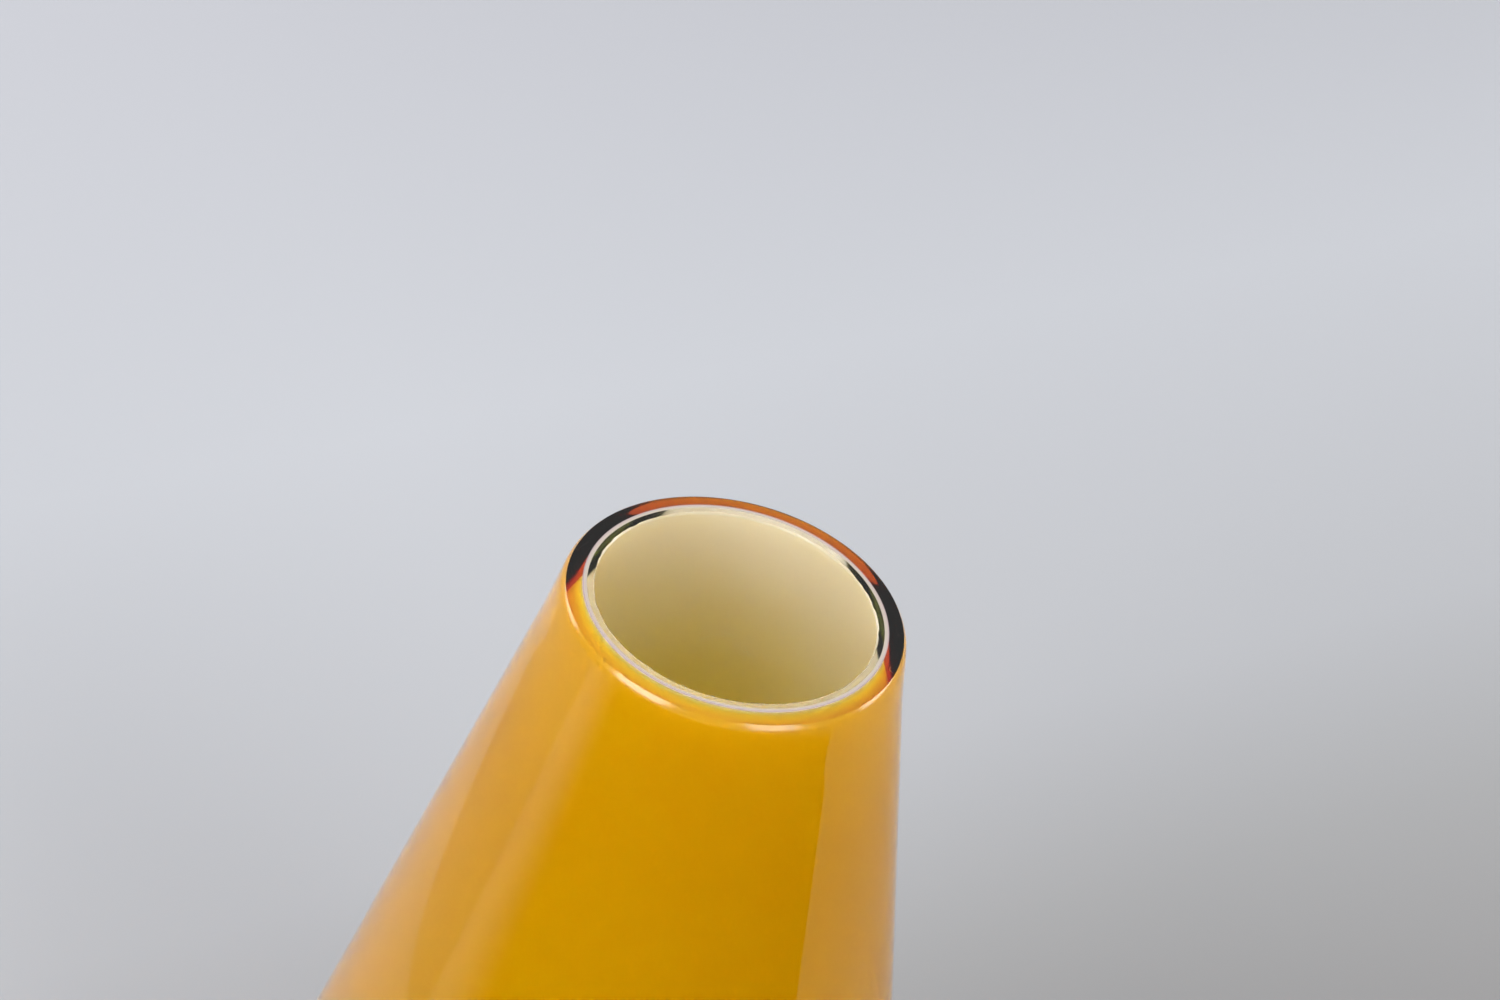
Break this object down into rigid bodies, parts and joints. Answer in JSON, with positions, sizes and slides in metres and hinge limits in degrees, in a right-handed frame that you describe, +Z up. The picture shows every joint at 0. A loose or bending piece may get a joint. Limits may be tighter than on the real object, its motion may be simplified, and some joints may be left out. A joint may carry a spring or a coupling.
{
  "type": "cased glass vase",
  "caption": "Tall conical vase of cased glass: transparent amber outside, white opal between, clear lining inside, with a flat ground rim and a domed foot.",
  "frame": {"origin": "centre of the foot ring, on the plane that the vase stands on", "axes": "+Z up the axis of the cone and out of the mouth; X and Y are alike, because every piece is turned"},
  "size_m": [0.1308, 0.1308, 0.2],
  "materials": {
    "amber_glass": "fire-polished outside, ground and polished on the rim and the pontil spot",
    "opal_glass": "opaque white, fused on both faces, polished at the rim",
    "clear_glass": "fire-polished inside, polished at the rim with an eased edge"
  },
  "bodies": {
    "root": {"amber_casing": "amber_glass", "opal_layer": "opal_glass", "clear_lining": "clear_glass"}
  },
  "joints": []
}
